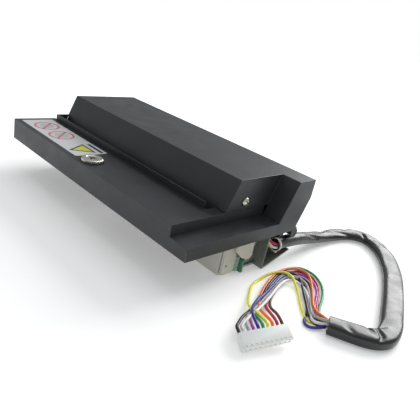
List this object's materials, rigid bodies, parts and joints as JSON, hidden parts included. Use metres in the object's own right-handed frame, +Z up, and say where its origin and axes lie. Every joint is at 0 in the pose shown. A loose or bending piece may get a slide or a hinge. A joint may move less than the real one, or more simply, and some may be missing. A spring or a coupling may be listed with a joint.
{
  "type": "bill validator",
  "caption": "Note reader with a hinged painted cover, a long entry slot, driven rollers between two guides, image sensor, thumb screw latch and a sleeved cable ending in a crimp connector.",
  "frame": {"origin": "middle of the underside of the validator itself, without its cable, on the surface it stands on", "axes": "+X along the note slot, to the right seen from the front; +Y from the front lip to the rear wall; +Z up"},
  "size_m": [0.2664, 0.1758, 0.0537],
  "materials": {
    "black_paint": "satin black paint, fine texture, worn edges",
    "white_plastic": "off-white moulded plastic",
    "black_plastic": "black moulded plastic",
    "green_clear": "pale green clear plastic",
    "board_green": "green solder mask",
    "galvanised": "galvanised sheet",
    "dark_steel": "blackened steel",
    "steel": "ground steel",
    "nickel": "nickel plate",
    "brass": "turned brass",
    "bronze": "sintered bronze",
    "rubber": "ground black rubber",
    "sensor_glass": "flat clear glass",
    "label": "printed vinyl sticker",
    "nylon": "natural nylon",
    "sleeve_pvc": "shiny flexible PVC sleeve",
    "wire_pvc": "coloured PVC wire insulation"
  },
  "bodies": {
    "lower_unit": {"base_plate": "galvanised", "front_wall": "white_plastic", "wire_ear": "white_plastic", "end_cap": "white_plastic", "light_guide": "green_clear", "sensor_board": "board_green", "cable_bracket": "galvanised", "left_frame": "galvanised", "right_frame": "galvanised", "gear_cover": "dark_steel", "frame_spacers": "steel", "frame_screws": "steel", "lower_guide": "white_plastic", "light_bar": "black_plastic", "light_bar_glass": "sensor_glass", "shaft_bushes": "bronze", "drive_belt": "rubber", "motor": "steel", "hinge_pins": "dark_steel", "latch_arm": "galvanised", "latch_nut": "brass", "cable_tie": "nylon", "cable_sleeve": "sleeve_pvc", "wire_loom": "wire_pvc", "connector_housing": "nylon", "connector_contacts": "brass"},
    "cover": {"front_plate": "black_paint", "top_cover": "black_paint", "label": "label", "side_screws": "nickel", "upper_guide": "black_plastic", "image_sensor": "black_plastic", "sensor_glass": "sensor_glass", "control_board": "board_green", "board_standoffs": "brass", "board_components": "black_plastic", "screw_cup": "black_plastic", "front_pinch_springs": "steel", "rear_pinch_springs": "steel"},
    "screw_lift": {"retaining_washer": "steel"},
    "screw": {"thumb_screw": "nickel"},
    "front_pinch": {"front_pinch_axle": "steel"},
    "front_pinch_wheels": {"front_pinch_rollers": "white_plastic"},
    "rear_pinch": {"rear_pinch_axle": "steel"},
    "rear_pinch_wheels": {"rear_pinch_rollers": "white_plastic"},
    "front_drive": {"front_shaft": "steel", "front_drive_rollers": "rubber", "front_pulley": "white_plastic"},
    "rear_drive": {"rear_shaft": "steel", "rear_drive_rollers": "rubber", "rear_pulley": "white_plastic", "driven_gear": "white_plastic"},
    "motor_rotor": {"motor_pinion": "brass"}
  },
  "joints": [
    {"name": "cover_hinge", "type": "hinge", "parent": "lower_unit", "child": "cover", "pos_m": [0, 0.0406, 0.0202], "axis": [-1, 0, 0], "range_deg": [0, 60]},
    {"name": "screw_rise", "type": "slide", "parent": "cover", "child": "screw_lift", "axis": [0, 0, 1], "range_m": [0, 0.0035]},
    {"name": "screw_turn", "type": "hinge", "parent": "screw_lift", "child": "screw", "pos_m": [-0.0054, -0.0389, 0.0359], "axis": [0, 0, 1], "range_deg": [0, 1800]},
    {"name": "front_pinch_slide", "type": "slide", "parent": "cover", "child": "front_pinch", "axis": [0, 0, 1], "range_m": [0, 0.0008], "stiffness_N_per_m": 400, "springref_m": -0.002, "deforming": ["front_pinch_springs"]},
    {"name": "front_pinch_spin", "type": "hinge", "parent": "front_pinch", "child": "front_pinch_wheels", "pos_m": [-0.00675, 0.0047, 0.0298], "axis": [1, 0, 0], "continuous": true},
    {"name": "rear_pinch_slide", "type": "slide", "parent": "cover", "child": "rear_pinch", "axis": [0, 0, 1], "range_m": [0, 0.0008], "stiffness_N_per_m": 400, "springref_m": -0.002, "deforming": ["rear_pinch_springs"]},
    {"name": "rear_pinch_spin", "type": "hinge", "parent": "rear_pinch", "child": "rear_pinch_wheels", "pos_m": [-0.00675, 0.03, 0.0298], "axis": [1, 0, 0], "continuous": true},
    {"name": "front_shaft_spin", "type": "hinge", "parent": "lower_unit", "child": "front_drive", "pos_m": [0, 0.0047, 0.0161], "axis": [1, 0, 0], "continuous": true},
    {"name": "rear_shaft_spin", "type": "hinge", "parent": "lower_unit", "child": "rear_drive", "pos_m": [0, 0.03, 0.0161], "axis": [1, 0, 0], "continuous": true},
    {"name": "motor_spin", "type": "hinge", "parent": "lower_unit", "child": "motor_rotor", "pos_m": [0.07, 0.01979, 0.0098], "axis": [1, 0, 0], "continuous": true}
  ],
  "couplings": [
    {"joint": "screw_turn", "follows": "screw_rise", "rad_per_m": 8975.9},
    {"joint": "front_shaft_spin", "follows": "rear_shaft_spin", "ratio": 1},
    {"joint": "motor_spin", "follows": "rear_shaft_spin", "ratio": -3},
    {"joint": "front_pinch_spin", "follows": "rear_shaft_spin", "ratio": -1.1613},
    {"joint": "rear_pinch_spin", "follows": "rear_shaft_spin", "ratio": -1.1613}
  ]
}
